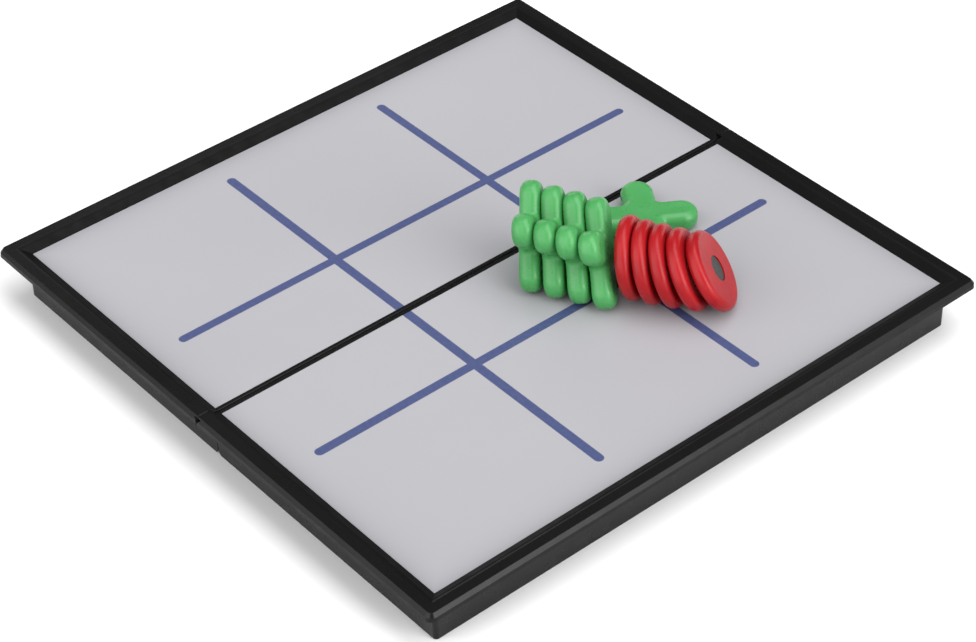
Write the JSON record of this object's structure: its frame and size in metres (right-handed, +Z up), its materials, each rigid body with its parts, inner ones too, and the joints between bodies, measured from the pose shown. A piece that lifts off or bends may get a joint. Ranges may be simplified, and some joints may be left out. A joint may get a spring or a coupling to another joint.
{
  "type": "magnetic tic-tac-toe game",
  "caption": "Folding magnetic tic-tac-toe board: two hinged black plastic case halves with a steel-backed printed play sheet, and green crosses and red noughts with magnets.",
  "frame": {"origin": "centre of the open board on the surface it stands on: midway between the two case halves on the fold line, and midway along it", "axes": "+X across the fold line, towards the half that carries the pieces; +Y along the fold line; +Z up out of the play surface"},
  "size_m": [0.16, 0.161, 0.0327],
  "materials": {
    "case_black": "moulded satin black",
    "hinge_black": "moulded satin black",
    "steel": "thin tinplate",
    "play_print": "satin coated print, pale grey with blue lines",
    "green_plastic": "glossy moulded green",
    "red_plastic": "glossy moulded red",
    "magnet": "dark ferrite"
  },
  "bodies": {
    "right_half": {"right_tray": "case_black", "right_steel_sheet": "steel", "right_play_sheet": "play_print", "x_piece_1": "green_plastic", "x_piece_2": "green_plastic", "x_piece_3": "green_plastic", "x_piece_4": "green_plastic", "x_piece_5": "green_plastic", "x_magnet_1": "magnet", "x_magnet_2": "magnet", "x_magnet_3": "magnet", "x_magnet_4": "magnet", "x_magnet_5": "magnet", "o_piece_1": "red_plastic", "o_piece_2": "red_plastic", "o_piece_3": "red_plastic", "o_piece_4": "red_plastic", "o_piece_5": "red_plastic", "o_magnet_1": "magnet", "o_magnet_2": "magnet", "o_magnet_3": "magnet", "o_magnet_4": "magnet", "o_magnet_5": "magnet"},
    "hinge_links": {"hinge_link_front": "hinge_black", "hinge_link_rear": "hinge_black"},
    "left_half": {"left_tray": "case_black", "left_steel_sheet": "steel", "left_play_sheet": "play_print"}
  },
  "joints": [
    {"name": "link_fold", "type": "hinge", "parent": "right_half", "child": "hinge_links", "pos_m": [0.0016, 0, 0.00155], "axis": [0, -1, 0], "range_deg": [0, 90]},
    {"name": "half_fold", "type": "hinge", "parent": "hinge_links", "child": "left_half", "pos_m": [-0.0016, 0, 0.00155], "axis": [0, -1, 0], "range_deg": [0, 90]}
  ],
  "couplings": [
    {"joint": "link_fold", "follows": "half_fold", "ratio": 1}
  ]
}
